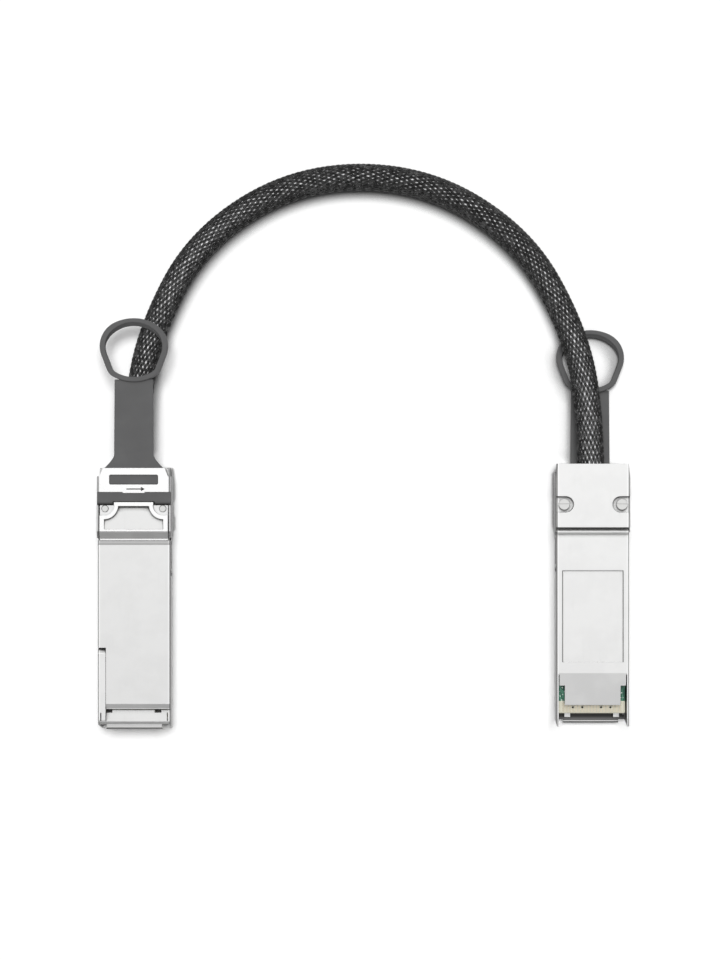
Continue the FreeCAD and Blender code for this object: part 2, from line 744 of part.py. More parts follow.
def cable_path():
    """Straight runs between the route's points, joined by tangent arcs."""
    points = [Vector(*point) for point in CABLE_ROUTE]
    for exit_points, x, z in ((points[:2], -plug_pitch / 2, left_rest + cable_height),
                              (points[-2:], plug_pitch / 2, right_rest - cable_height)):
        for point in exit_points:
            point.x = x
            point.z = z
    points[0].y = left_rear_y - ferrule_station
    points[-1].y = right_rear_y - ferrule_station
    edges = []
    start = points[0]
    for before, corner, after in zip(points, points[1:], points[2:]):
        back = (before - corner).normalize()
        ahead = (after - corner).normalize()
        turn = math.pi - back.getAngle(ahead)
        setback = RUN_SHARE * min(before.distanceToPoint(corner), after.distanceToPoint(corner))
        radius = setback / math.tan(turn / 2)
        print("bend radius %.1f mm, turn %.1f degrees" % (radius, math.degrees(turn)))
        entry = corner + back * setback
        leave = corner + ahead * setback
        middle_way = (back + ahead).normalize()
        depth = radius / math.cos(turn / 2) - radius
        edges.append(Part.LineSegment(start, entry).toShape())
        edges.append(Part.Arc(entry, corner + middle_way * depth, leave).toShape())
        start = leave
    edges.append(Part.LineSegment(start, points[-1]).toShape())
    return Part.Wire(edges)


def cable_rod(path, radius):
    """A round rod swept along the cable's path."""
    start = path.Edges[0].Vertexes[0].Point
    heading = path.Edges[0].tangentAt(path.Edges[0].FirstParameter)
    section = Part.Wire(Part.makeCircle(radius, start, heading))
    swept = path.makePipeShell([section], True, False)
    print("rod of radius %.2f: length %.1f mm, volume %.1f, section x length %.1f"
          % (radius, path.Length, swept.Volume, math.pi * radius ** 2 * path.Length))
    return swept


# ---- placing and writing
def lay_left(shape):
    """Release side up, on the left."""
    placed = shape.copy()
    placed.translate(Vector(-plug_pitch / 2, left_rear_y, left_rest))
    return placed


def lay_right(shape):
    """Turned over, on the right."""
    placed = shape.copy()
    placed.rotate(Vector(0, 0, 0), Vector(0, 1, 0), 180)
    placed.translate(Vector(plug_pitch / 2, right_rear_y, right_rest))
    return placed


def report(name, shape):
    print("%-16s solids %d valid %s volume %.1f" % (name, len(shape.Solids), shape.isValid(), shape.Volume))


def write(name, shape):
    shape.exportStep("parts/%s.step" % name)


PLUG_PIECES = {
    "base_shell": base_shell,
    "top_cover": top_cover,
    "release_slider": release_slider,
    "outer_spring": lambda: return_spring(-1),
    "inner_spring": lambda: return_spring(1),
    "case_screws": case_screws,
    "paddle_card": paddle_card,
    "contact_pads": contact_pads,
    "memory_chip": memory_chip,
    "cable_ferrule": cable_ferrule,
    "upper_pairs": lambda: signal_pairs(True),
    "lower_pairs": lambda: signal_pairs(False),
    "joint_potting": joint_potting,
}

os.makedirs("parts", exist_ok=True)
for piece_name, make in PLUG_PIECES.items():
    piece = make()
    report(piece_name, piece)
    write("left_" + piece_name, lay_left(piece))
    write("right_" + piece_name, lay_right(piece))
for piece_name, lay, reach in (("left_pull_tab", lay_left, ring_reach),
                               ("right_pull_tab", lay_right, ring_reach - right_tuck)):
    piece = pull_tab(reach)
    report(piece_name, piece)
    write(piece_name, lay(piece))

cable_line = cable_path()
core_radius = cable_radius - sleeve_wall
write("cable_core", cable_rod(cable_line, core_radius))
sleeve_bore = cable_rod(cable_line, core_radius + seat_gap)
write("cable_sleeve", cable_rod(cable_line, cable_radius).cut(sleeve_bore))
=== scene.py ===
"""Direct attach copper cable: two die-cast plugs with pull-ring release and a braided cable bent
into an arch, lying on a white table.  Metres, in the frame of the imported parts.
"""
import json
from math import cos, radians, sin, tau

import bmesh
import bpy
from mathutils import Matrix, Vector


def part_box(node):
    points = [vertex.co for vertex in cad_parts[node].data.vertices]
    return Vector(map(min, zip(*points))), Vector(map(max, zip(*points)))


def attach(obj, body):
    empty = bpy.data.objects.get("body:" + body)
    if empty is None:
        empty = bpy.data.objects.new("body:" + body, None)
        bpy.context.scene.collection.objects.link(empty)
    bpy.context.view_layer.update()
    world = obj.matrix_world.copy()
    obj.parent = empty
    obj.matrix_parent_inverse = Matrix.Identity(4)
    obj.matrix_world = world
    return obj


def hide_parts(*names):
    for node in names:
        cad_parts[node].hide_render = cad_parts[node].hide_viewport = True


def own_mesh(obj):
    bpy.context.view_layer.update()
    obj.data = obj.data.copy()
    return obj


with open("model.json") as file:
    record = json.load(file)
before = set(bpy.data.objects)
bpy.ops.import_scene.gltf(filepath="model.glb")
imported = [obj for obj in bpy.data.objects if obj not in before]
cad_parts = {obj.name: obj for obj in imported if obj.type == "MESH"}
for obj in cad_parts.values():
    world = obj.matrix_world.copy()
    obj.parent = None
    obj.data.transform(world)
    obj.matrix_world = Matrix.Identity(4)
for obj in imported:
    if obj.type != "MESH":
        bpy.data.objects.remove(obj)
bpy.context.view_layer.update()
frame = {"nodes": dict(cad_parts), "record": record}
NODES = frame["nodes"]
SHELLS = "cable_and_shells"
MM = 0.001

# ---- cable: its route is the tube's own, in metres
ROUTE = (
    (-0.05831, 0.00670, 0.00470), (-0.05831, 0.02817, 0.00470), (-0.05482, 0.04914, 0.00420),
    (-0.04212, 0.07346, 0.00355), (-0.01644, 0.08914, 0.00350), (0.01502, 0.08914, 0.00350),
    (0.04072, 0.07366, 0.00360), (0.05362, 0.05014, 0.00660), (0.05821, 0.02917, 0.00630),
    (0.05831, 0.00780, 0.00630),
)
CABLE_DIAMETER = 6.95 * MM
FOIL_RADIUS = 2.94 * MM

# ---- braided sleeve: carriers of three filaments wound both ways, over one and under one
CARRIERS = 20
FILAMENTS = 3
FILAMENT_RADIUS = 0.092 * MM
FILAMENT_PITCH = 0.215 * MM
LAY = 50 * MM                      # one turn of a carrier
CRIMP = 0.115 * MM
STEP = LAY / CARRIERS / 6          # six points to each over and under
WANDER = 0.035                     # radians that a carrier strays to and fro,
WANDER_WAVE = 37 * MM              # over this length of cable
WANDER_PHASE = 2.4                 # radians from one carrier's straying to the next one's
WANDER_SHARE = 1.7                 # radians from carrier to carrier, whose cosine scales it

# ---- plugs: a place along one grows from the nose's front edge towards the arch
LEFT_LOW, LEFT_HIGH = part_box("left_base_shell")
RIGHT_LOW, RIGHT_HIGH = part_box("right_base_shell")
PLUG_X = (RIGHT_LOW.x + RIGHT_HIGH.x) / 2
PLUG_FRONT, PLUG_REAR = LEFT_LOW.y, LEFT_HIGH.y
STAGGER = RIGHT_HIGH.y - PLUG_REAR       # the right plug stands this much further back
COLLAR = PLUG_REAR - 18.4 * MM           # step from the nose up to the body
NOSE_HALF = 9.175 * MM                   # half its width
RIM_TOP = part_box("left_top_cover")[1].z
BRIDGE_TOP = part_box("left_release_slider")[1].z
LACQUER_END = PLUG_REAR - 60.65 * MM     # the card is bare laminate in front of it

# ---- mouth, which is open to the camera on the right plug, and the painted shade in it
LIP_EDGE = PLUG_FRONT + 0.75 * MM
LIP_REAR = PLUG_FRONT + 0.95 * MM
LIP_LOW_PART = 5 * MM                    # its painted shade is darker below this height
FLANGE_REAR = PLUG_FRONT + 2.0 * MM
MOUTH_DEEPENS = (1.2 * MM, 2.2 * MM)     # behind the front edge
MOUTH_HALF = 8.66 * MM
MOUTH_LOW = RIGHT_LOW.z + 1.05 * MM
MOUTH_HIGH = BRIDGE_TOP - 2.5 * MM

# ---- bellies: the left plug's faces the table, the right plug's faces up
LEFT_BELLY = 1.25 * MM                   # just above it
NOSE_BELLY = RIM_TOP - 1.0 * MM
RIGHT_BELLY = NOSE_BELLY - 0.2 * MM      # just under it
BELLY_SEAM = PLUG_REAR - 17.7 * MM
SEAM_FOOT = NOSE_BELLY - 0.5 * MM
SEAM_REACH = 0.2 * MM
LABEL_REAR = COLLAR - 8.8 * MM
LABEL_FRONT = LABEL_REAR - 23.3 * MM
LABEL_HALF = 7.7 * MM
LABEL_LINE = 0.13 * MM                   # half the width of the painted shade along the outline of its recess

# ---- top cover: the strip in front of its collar, and bands of height under its rim, where shade and highlights are painted
STRIP_FRONT = COLLAR - 1.15 * MM
STRIP_DARK_REAR = COLLAR - 0.8 * MM
STRIP_TOP = RIM_TOP - 1.3 * MM
RIM_FOOT = RIM_TOP - 0.05 * MM
PANEL = (RIM_TOP - 0.8 * MM, RIM_TOP - 0.15 * MM)
LEDGE = (RIM_TOP - 0.87 * MM, RIM_TOP - 0.83 * MM)
SCREW_CORNER = (RIM_TOP - 1.1 * MM, RIM_TOP - 1.0 * MM)

# ---- sides of the nose and body, from a plug's middle line and from the table, for the painted shade on the flanks and the painted highlight just inside their edges
FLANK_IN = NOSE_HALF - 0.2 * MM
WALL_IN = NOSE_HALF - 0.3 * MM
EDGE_IN = NOSE_HALF - 0.5 * MM
FLANK_DARKENS = (2 * MM, 9.5 * MM)

# ---- slider and pull tab
ARROW = (BRIDGE_TOP - 0.16 * MM, BRIDGE_TOP - 0.03 * MM)
ARROW_HALF = 3 * MM
TBAR_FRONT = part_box("left_pull_tab")[0].y
TBAR_RECESS = 0.75 * MM                  # its middle stands this far behind its ends
TBAR_RECESS_HALF = 5.35 * MM
TBAR_SHADE = 0.28 * MM                   # width of the painted shade of the wall over its front, in the middle,
TBAR_END_SHADE = 0.6 * MM                # and this much more at its ends

# ---- tones
# dark tone of the painted shade, and the blackened arrow's own colour
SHADE_AND_ARROW_BLACK = (0.035, 0.034, 0.033)
WHITE = (1.0, 1.0, 1.0)
EDGE_ON = (0.3, 0.3, 0.3, 1.0)           # bare metal seen at a grazing angle
BASE_TONE = (0.95, 0.95, 0.945)
COVER_TONE = (0.905, 0.905, 0.90)
CLOUDED = 0.94                           # share of a casting's tone left where it is clouded
# pale tone of the polished edges and of the painted highlights
POLISH_AND_HIGHLIGHT = (0.97, 0.97, 0.97)
STEEL_DULL, STEEL_BRIGHT = (0.90, 0.90, 0.90), (0.96, 0.96, 0.96)
RUBBER_DARK, RUBBER_PALE = (0.098, 0.098, 0.099), (0.122, 0.122, 0.123)
RUBBER_RUBBED = (0.15, 0.15, 0.15)
LAMINATE_DARK, LAMINATE_PALE = (0.60, 0.58, 0.47), (0.72, 0.70, 0.60)
LACQUER, LACQUER_ON_TRACKS = (0.020, 0.085, 0.055), (0.06, 0.20, 0.13)
SOLDER = (0.62, 0.70, 0.66)

# ---- how edges wear and take painted highlights, and how far painted shade reaches from walls
CAST_EDGE, STEEL_EDGE, RUBBER_EDGE = 0.16 * MM, 0.1 * MM, 0.25 * MM     # radii
WEAR_AND_HIGHLIGHT_TURN = 0.25                         # how far a rounded edge turns before it has its full wear and painted highlight
CAST_SHADE, SMALL_SHADE = 1.6 * MM, 1.2 * MM     # reach of a wall's painted shade
HOLLOW_CLEARS = 0.2                      # where the casting's painted shade in recesses is darker than this, no wall shade is painted on top
OPEN_SKY = (0.42, 0.86)                  # shares that count as sheltered and as open
SHADE_FROM = (0.0, 0.7, 0.0)             # walls on this side of a face shade it most
ALONG_PLUG = 1                           # number of the axis that brushing and marks run along
GLASS_THREAD = 0.42 * MM                 # of the laminate's weave
MIX_FACTOR, MIX_LOW, MIX_HIGH, MIX_COLOUR = 0, 6, 7, 2     # colour sockets of a Mix node

# ---- table and the shade on it
TABLE_HALF = 1.5
CONTACT_LEAN = 12.0                      # per metre: things shade the table most towards its middle
CONTACT_AT_PLUGS = 1 * MM                # how far they shade it beside the plugs,
CONTACT_REACH = 3.5 * MM                 # and how much further beside the straps and the cable
CONTACT_GROWS = 5 * MM                   # it grows over this length behind the plugs
CONTACT_TONE = (0.4, 0.4, 0.4)

# ---- view
CAMERA_PLACE = (-0.86 * MM, 11.35 * MM, 0.70)
CAMERA_LENS = 101.69
CAMERA_SENSOR = 36

# ---- light
SKY_BRIGHTEST = (0.03, 0.375, 0.927)
SKY_LOW = 0.355
SKY_RISE = 1.57
SKY_GATHER = 8
FILL = 0.17
KEY_FROM = (0.0, 0.2, 1.0)
KEY_SPREAD = radians(26)
KEY_STRENGTH = 2.85


# ---------------------------------------------------------------- materials
class Flow:
    """One output of a node.  Sums, products and comparisons on it add Math nodes."""

    def __init__(self, graph, socket):
        self.graph, self.socket = graph, socket

    def math(self, operation, *terms):
        return self.graph.node("ShaderNodeMath", {"operation": operation}, dict(enumerate(terms)))

    def __add__(self, other):
        return self.math("ADD", self, other)

    def __sub__(self, other):
        return self.math("SUBTRACT", self, other)

    def __rsub__(self, other):
        return self.math("SUBTRACT", other, self)

    def __mul__(self, other):
        return self.math("MULTIPLY", self, other)

    def __pow__(self, other):
        return self.math("POWER", self, other)

    def __gt__(self, other):
        return self.math("GREATER_THAN", self, other)

    def __lt__(self, other):
        return self.math("LESS_THAN", self, other)

    def __abs__(self):
        return self.math("ABSOLUTE", self)

    __radd__, __rmul__ = __add__, __mul__

    def most(self, other):
        """The larger of the two."""
        return self.math("MAXIMUM", self, other)

    def wave(self, length):
        """Sine of this wavelength."""
        return self.math("SINE", self * (tau / length))

    def within(self, low, high):
        """1 between low and high, 0 elsewhere."""
        return (self > low) * (self < high)

    def near(self, place, reach):
        """1 within this reach of place, 0 elsewhere."""
        return abs(self - place) < reach

    def rise(self, low, high):
        """0 below low, 1 above high, smooth in between."""
        settings = {"interpolation_type": "SMOOTHSTEP"}
        inputs = {"Value": self, "From Min": low, "From Max": high}
        return self.graph.node("ShaderNodeMapRange", settings, inputs)


class Graph:
    """A node tree being wired up."""

    def __init__(self, tree):
        self.tree = tree

    def node(self, kind, settings=None, inputs=None, output=0):
        """Add a node, set it, feed its inputs with values or flows, and return one output."""
        made = self.tree.nodes.new(kind)
        for name, value in (settings or {}).items():
            setattr(made, name, value)
        for name, value in (inputs or {}).items():
            self.join(made.inputs[name], value)
        return Flow(self, made.outputs[output])

    def join(self, socket, value):
        if isinstance(value, Flow):
            self.tree.links.new(value.socket, socket)
        else:
            socket.default_value = value

    def dot(self, one, other):
        inputs = {0: one, 1: other}
        return self.node("ShaderNodeVectorMath", {"operation": "DOT_PRODUCT"}, inputs, "Value")


class Finish(Graph):
    """A material being made, around one Principled shader."""

    def __init__(self, name, **constants):
        self.material = bpy.data.materials.new(name)
        self.material.use_nodes = True
        super().__init__(self.material.node_tree)
        self.shader = self.tree.nodes["Principled BSDF"]
        self.feed(**constants)

    def feed(self, **sockets):
        """Feed the shader's sockets, with _ for the spaces in their names."""
        for name, value in sockets.items():
            self.join(self.shader.inputs[name.replace("_", " ")], value)

    def place(self):
        return self.node("ShaderNodeTexCoord", output="Object")

    def axis(self, letter):
        return self.node("ShaderNodeSeparateXYZ", {}, {"Vector": self.place()}, letter)

    def face(self):
        return self.node("ShaderNodeNewGeometry", output="Normal")

    def grain(self, size, detail=2.0, drawn_out=1):
        """Noise in lumps of about this size, drawn out so many times along the plug."""
        scale = [1 / size] * 3
        scale[ALONG_PLUG] /= drawn_out
        spread = self.node("ShaderNodeMapping", {}, {"Vector": self.place(), "Scale": scale})
        inputs = {"Vector": spread, "Scale": 1.0, "Detail": detail}
        return self.node("ShaderNodeTexNoise", {}, inputs, "Fac")

    def tint(self, low, high, factor):
        """From the colour low, where factor is 0, to the colour high, where it is 1."""
        low, high = (c if isinstance(c, Flow) else (*c, 1.0) for c in (low, high))
        inputs = {MIX_FACTOR: factor, MIX_LOW: low, MIX_HIGH: high}
        return self.node("ShaderNodeMix", {"data_type": "RGBA"}, inputs, MIX_COLOUR)

    def soft_edge(self, radius):
        return self.node("ShaderNodeBevel", {"samples": 6}, {"Radius": radius}, "Normal")

    def wear_and_highlight(self, soft):
        """1 along the edges that soft rounds off, where wear and painted highlights go, 0 on flat
        faces.
        """
        return (1 - self.dot(soft, self.face())).rise(0.0, WEAR_AND_HIGHLIGHT_TURN)

    def sheltered(self, reach, lean=SHADE_FROM):
        """1 in the open, towards 0 in grooves and in front of walls up to this reach."""
        leaning = self.node("ShaderNodeVectorMath", {}, {0: self.face(), 1: lean}, "Vector")
        inputs = {"Distance": reach, "Normal": leaning}
        open_part = self.node("ShaderNodeAmbientOcclusion", {"samples": 8}, inputs, "AO")
        return open_part.rise(*OPEN_SKY)

    def bump(self, height, depth, normal=None):
        inputs = {"Height": height, "Distance": depth, "Strength": 1.0}
        if normal:
            inputs["Normal"] = normal
        return self.node("ShaderNodeBump", {}, inputs)


def cast_metal(name, tone, shade_mask, highlight_mask=None):
    """Nickel-plated zinc casting: satin, faintly clouded, with polished edges and fine marks.

    The first mask gives the painted shade in the mouth and grooves, the second, where given,
    painted highlights on raised rims and ledges, and the pale polished edges are partly painted
    highlight.
    """
    finish = Finish(name, Metallic=1.0, Specular_Tint=EDGE_ON)
    soft = finish.soft_edge(CAST_EDGE)
    # painted shade in the mouth, grooves and recess outlines, and painted shade in front of walls
    dark = shade_mask(finish)
    open_part = finish.sheltered(CAST_SHADE).most(dark > HOLLOW_CLEARS)
    # wear on the rounded edges, plus a painted highlight just inside the outer edges
    wear_and_highlight = finish.wear_and_highlight(soft).most(0.8 * edge_highlight(finish))
    # painted highlights on the cover's rim, ledge and screw corners, which also lift the painted
    # shade there
    if highlight_mask:
        bright = highlight_mask(finish)
        wear_and_highlight = wear_and_highlight.most(bright)
        open_part = open_part.most(0.8 * bright)
    cloud = finish.grain(6 * MM, detail=3.0)
    marks = finish.grain(0.5 * MM, detail=1.0, drawn_out=18).rise(0.66, 0.74)
    skin = finish.grain(0.22 * MM)
    dull = tuple(CLOUDED * c for c in tone)
    colour = finish.tint(dull, tone, cloud.rise(0.3, 0.7))
    # pale edges and painted highlights, then painted shade in front of walls, on the upper flanks
    # and in the mouth and grooves
    colour = finish.tint(colour, POLISH_AND_HIGHLIGHT, 0.8 * wear_and_highlight)
    colour = finish.tint(SHADE_AND_ARROW_BLACK, colour, open_part)
    colour = finish.tint(colour, SHADE_AND_ARROW_BLACK, 0.62 * flank_shade(finish))
    colour = finish.tint(colour, SHADE_AND_ARROW_BLACK, dark)
    finish.feed(
        Base_Color=colour,
        Roughness=0.36 + 0.1 * cloud - 0.14 * wear_and_highlight + 0.05 * marks,
        Normal=finish.bump(skin + 0.5 * marks, 0.0035 * MM, soft),
    )
    return finish.material


def along_plug(finish):
    """Place along a plug, as if the right one lay level with the left one."""
    return finish.axis("Y") - STAGGER * (finish.axis("X") > 0.0)


def across_plug(finish):
    """Distance from the middle line of a plug."""
    return abs(abs(finish.axis("X")) - PLUG_X)


def flank_shade(finish):
    """Painted shade on the plug's outer flanks: 0 at their foot, towards 1 at their upper edge."""
    return (across_plug(finish) > FLANK_IN) * finish.axis("Z").rise(*FLANK_DARKENS)


def edge_highlight(finish):
    """Painted highlight: 1 along the outer edges of the nose and body, just inside them."""
    return across_plug(finish).within(EDGE_IN, FLANK_IN)


def base_shade(finish):
    """Painted shade on the base shell, from 0 to 1: nearly 1 in its mouth.

    Less on the mouth's side walls, its flange and its lip, along the outline of the label's
    recess and at the belly's seam.
    """
    along, across, high = along_plug(finish), across_plug(finish), finish.axis("Z")
    mouth = high.within(MOUTH_LOW, MOUTH_HIGH) * (along > LIP_REAR)
    floor = mouth * (across < MOUTH_HALF)
    walls = mouth * across.within(MOUTH_HALF, WALL_IN)
    deep = (along - PLUG_FRONT).rise(*MOUTH_DEEPENS)
    flange = (along < FLANGE_REAR) * (high > MOUTH_HIGH)
    lip = (along < LIP_EDGE) * (across < MOUTH_HALF)
    belly = (high > RIGHT_BELLY) + (high < LEFT_BELLY)
    label_sides = across.near(LABEL_HALF, LABEL_LINE) * along.within(LABEL_FRONT, LABEL_REAR)
    label_rear = along.near(LABEL_REAR, LABEL_LINE) * (across < LABEL_HALF)
    seam = along.near(BELLY_SEAM, SEAM_REACH) * (high > SEAM_FOOT)
    # how dark the shade is painted on each part
    shades = (
        (floor, 0.83 + 0.15 * deep),
        (walls, 0.25),
        (flange, 0.2),
        (lip, 0.65 + 0.26 * (high < LIP_LOW_PART)),
        (belly * label_sides, 0.7),
        (belly * label_rear, 0.3),
        (seam, 0.45),
    )
    return sum(part * shade for part, shade in shades)


def cover_shade(finish):
    """Painted shade: part of 1 on the strip of the nose in front of the collar, and a little in the
    panel.
    """
    along, high = along_plug(finish), finish.axis("Z")
    strip = along.within(STRIP_FRONT, COLLAR) * (high < STRIP_TOP)
    panel = (along > COLLAR) * high.within(*PANEL)
    return strip * (0.36 + 0.2 * (along < STRIP_DARK_REAR)) + 0.14 * panel


def cover_highlights(finish):
    """Painted highlights: 1 on the top cover's rim, the ledge under its ramp and the low corners
    round the screws.
    """
    high = finish.axis("Z")
    return (high > RIM_FOOT) + high.within(*LEDGE) + high.within(*SCREW_CORNER)


def bent_steel():
    """Stainless release slider, brushed along the plug, with a blackened arrow on its bridge,
    painted shade in its grooves and painted shade on its upper flanks.
    """
    finish = Finish("bent_steel", Metallic=1.0, Specular_Tint=EDGE_ON)
    soft = finish.soft_edge(STEEL_EDGE)
    brushed = finish.grain(0.12 * MM, drawn_out=40)
    arrow = finish.axis("Z").within(*ARROW) * (across_plug(finish) < ARROW_HALF)
    colour = finish.tint(STEEL_DULL, STEEL_BRIGHT, brushed)
    # painted shade in grooves and in front of walls, then darker painted upper flanks
    colour = finish.tint(SHADE_AND_ARROW_BLACK, colour, finish.sheltered(SMALL_SHADE))
    colour = finish.tint(colour, SHADE_AND_ARROW_BLACK, 0.4 * flank_shade(finish))
    finish.feed(
        Base_Color=finish.tint(colour, SHADE_AND_ARROW_BLACK, arrow),
        Roughness=0.2 + 0.14 * brushed,
        Normal=finish.bump(brushed, 0.002 * MM, soft),
    )
    return finish.material


def moulded_rubber():
    """Matte grey rubber of the pull tabs, with a fine moulded grain and faint handling shine,
    painted shade in its grooves and a painted shadow along the T-bar's front.
    """
    finish = Finish("moulded_rubber", Specular_IOR_Level=0.35)
    soft = finish.soft_edge(RUBBER_EDGE)
    cloud = finish.grain(5 * MM, detail=3.0)
    pores = finish.grain(0.16 * MM, detail=3.0)
    middle = across_plug(finish) < TBAR_RECESS_HALF
    behind_front = along_plug(finish) - (TBAR_FRONT + TBAR_RECESS * middle)
    # painted shadow in a band along the T-bar's front
    wall_shadow = 1 - behind_front.rise(0.0, TBAR_SHADE + TBAR_END_SHADE * (1 - middle))
    colour = finish.tint(RUBBER_DARK, RUBBER_PALE, cloud)
    # painted shade in grooves and in front of walls
    colour = finish.tint(SHADE_AND_ARROW_BLACK, colour, 0.4 + 0.6 * finish.sheltered(SMALL_SHADE))
    colour = finish.tint(colour, SHADE_AND_ARROW_BLACK, wall_shadow)
    finish.feed(
        Base_Color=finish.tint(colour, RUBBER_RUBBED, 0.4 * finish.wear_and_highlight(soft)),
        Roughness=0.62 - 0.12 * cloud.rise(0.5, 0.8) + 0.1 * pores,
        Normal=finish.bump(pores, 0.012 * MM, soft),
    )
    return finish.material


def turned_steel():
    """Plated screws and springs with a turned skin."""
    finish = Finish("turned_steel", Metallic=1.0)
    soft = finish.soft_edge(STEEL_EDGE)
    skin = finish.grain(0.15 * MM)
    finish.feed(
        Base_Color=finish.tint((0.70, 0.70, 0.69), (0.84, 0.84, 0.83), finish.wear_and_highlight(soft)),
        Roughness=0.26 + 0.12 * skin,
        Normal=finish.bump(skin, 0.003 * MM, soft),
    )
    return finish.material


def card_laminate():
    """Paddle card: woven pale laminate at the contact end, green lacquer over tracks behind it."""
    finish = Finish("card_laminate", Roughness=0.4)
    lacquered = along_plug(finish) > LACQUER_END
    weave = finish.axis("Y").wave(GLASS_THREAD) * finish.axis("X").wave(GLASS_THREAD)
    blotch = finish.grain(1.1 * MM, detail=3.0)
    tracks = finish.grain(0.3 * MM, detail=0.0, drawn_out=6).rise(0.5, 0.56)
    solder = finish.grain(0.55 * MM, detail=0.0).rise(0.70, 0.73)
    bare = finish.tint(LAMINATE_DARK, LAMINATE_PALE, 0.5 * weave + 0.5 * blotch)
    green = finish.tint(LACQUER, LACQUER_ON_TRACKS, tracks)
    green = finish.tint(green, SOLDER, solder)
    finish.feed(
        Base_Color=finish.tint(bare, green, lacquered),
        Roughness=0.55 - 0.3 * lacquered,
        Normal=finish.bump(0.3 * weave + tracks * lacquered, 0.01 * MM),
    )
    return finish.material


def crinkled_foil():
    """Aluminium foil round the pairs, creased in small facets, dull between the creases."""
    finish = Finish("crinkled_foil")
    creases = finish.grain(0.9 * MM, detail=3.0)
    bright = finish.grain(1.3 * MM, detail=1.0).rise(0.28, 0.5)
    finish.feed(
        Base_Color=finish.tint((0.45, 0.45, 0.45), (0.98, 0.98, 0.99), bright),
        Metallic=0.15 + 0.2 * bright,
        Roughness=0.4 + 0.2 * creases,
        Normal=finish.bump(creases, 0.2 * MM),
    )
    return finish.material


def black_filament():
    """Glossy polyester filaments, each a little paler or darker along its run."""
    finish = Finish("black_filament", Specular_IOR_Level=0.55)
    shade = finish.grain(1.1 * MM).rise(0.4, 0.75)
    scuff = finish.grain(0.3 * MM)
    finish.feed(
        Base_Color=finish.tint((0.008, 0.008, 0.008), (0.075, 0.075, 0.075), shade),
        Roughness=0.3 + 0.25 * scuff,
    )
    return finish.material


def plain_skin(name, dark, pale, lump, rough, uneven=0.0, depth=0.0, detail=3.0, **constants):
    """One grain, in lumps of this size, sets the tone and the uneven part of the roughness.

    With a depth it raises the surface too.
    """
    finish = Finish(name, **constants)
    skin = finish.grain(lump, detail)
    finish.feed(
        Base_Color=finish.tint(dark, pale, skin),
        Roughness=rough + uneven * skin if uneven else rough,
    )
    if depth:
        finish.feed(Normal=finish.bump(skin, depth))
    return finish.material


def plated_gold():
    return plain_skin("plated_gold", (0.74, 0.68, 0.54), (0.80, 0.74, 0.60), 0.2 * MM,
                      rough=0.38, uneven=0.15, detail=2.0, Metallic=1.0)


def chip_plastic():
    return plain_skin("chip_plastic", (0.018, 0.018, 0.019), (0.032, 0.032, 0.033), 0.12 * MM,
                      rough=0.5, uneven=0.2, depth=0.006 * MM)


def pressed_brass():
    return plain_skin("pressed_brass", (0.62, 0.50, 0.28), (0.74, 0.61, 0.36), 0.3 * MM,
                      rough=0.28, uneven=0.2, depth=0.004 * MM, Metallic=1.0)


def hot_melt():
    return plain_skin("hot_melt", (0.48, 0.40, 0.24), (0.62, 0.54, 0.36), 1.5 * MM,
                      rough=0.3, depth=0.05 * MM, Subsurface_Weight=0.15)


def dress(material, *kinds):
    """Give a material to these pieces of both plugs."""
    for kind in kinds:
        for side in ("left", "right"):
            for slot in NODES[f"{side}_{kind}"].material_slots:
                slot.material = material


def dress_nodes():
    dress(cast_metal("cast_base", BASE_TONE, base_shade), "base_shell")
    dress(cast_metal("cast_cover", COVER_TONE, cover_shade, cover_highlights), "top_cover")
    dress(bent_steel(), "release_slider")
    dress(moulded_rubber(), "pull_tab")
    dress(turned_steel(), "case_screws", "outer_spring", "inner_spring")
    dress(card_laminate(), "paddle_card")
    dress(plated_gold(), "contact_pads")
    dress(chip_plastic(), "memory_chip")
    dress(pressed_brass(), "cable_ferrule")
    dress(crinkled_foil(), "upper_pairs", "lower_pairs")
    dress(hot_melt(), "joint_potting")


def press_springs():
    """Give each spring that the joints deform a mesh of its own. On the plug the return springs
    shorten between the case and the slider's tabs as the slider is pulled.
    """
    for joint in frame["record"]["behaviour"]["joints"]:
        for row in joint["deforming_nodes"]:
            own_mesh(NODES[row["node"]])


# ---------------------------------------------------------------- cable
def linked(thing):
    bpy.context.scene.collection.objects.link(thing)
    return thing


def new_curve(name, kind, runs, points):
    """A curve of so many runs, each of so many points that are still to be placed."""
    curve = bpy.data.curves.new(name, "CURVE")
    curve.dimensions = "3D"
    for _ in range(runs):
        curve.splines.new(kind).points.add(points - 1)
    return curve


def lay_out(spline, places):
    for point, place in zip(spline.points, places):
        point.co = (*place, 1.0)


def as_mesh(curve_object):
    bpy.context.view_layer.update()
    shape = curve_object.evaluated_get(bpy.context.evaluated_depsgraph_get())
    return bpy.data.meshes.new_from_object(shape)


def route_curve():
    """The cable's middle line, which the foil core is drawn along."""
    curve = new_curve("foil_core", "NURBS", 1, len(ROUTE))
    spline = curve.splines[0]
    lay_out(spline, ROUTE)
    spline.order_u = 3
    spline.use_endpoint_u = True
    spline.resolution_u = 48
    return linked(bpy.data.objects.new("foil_core", curve))


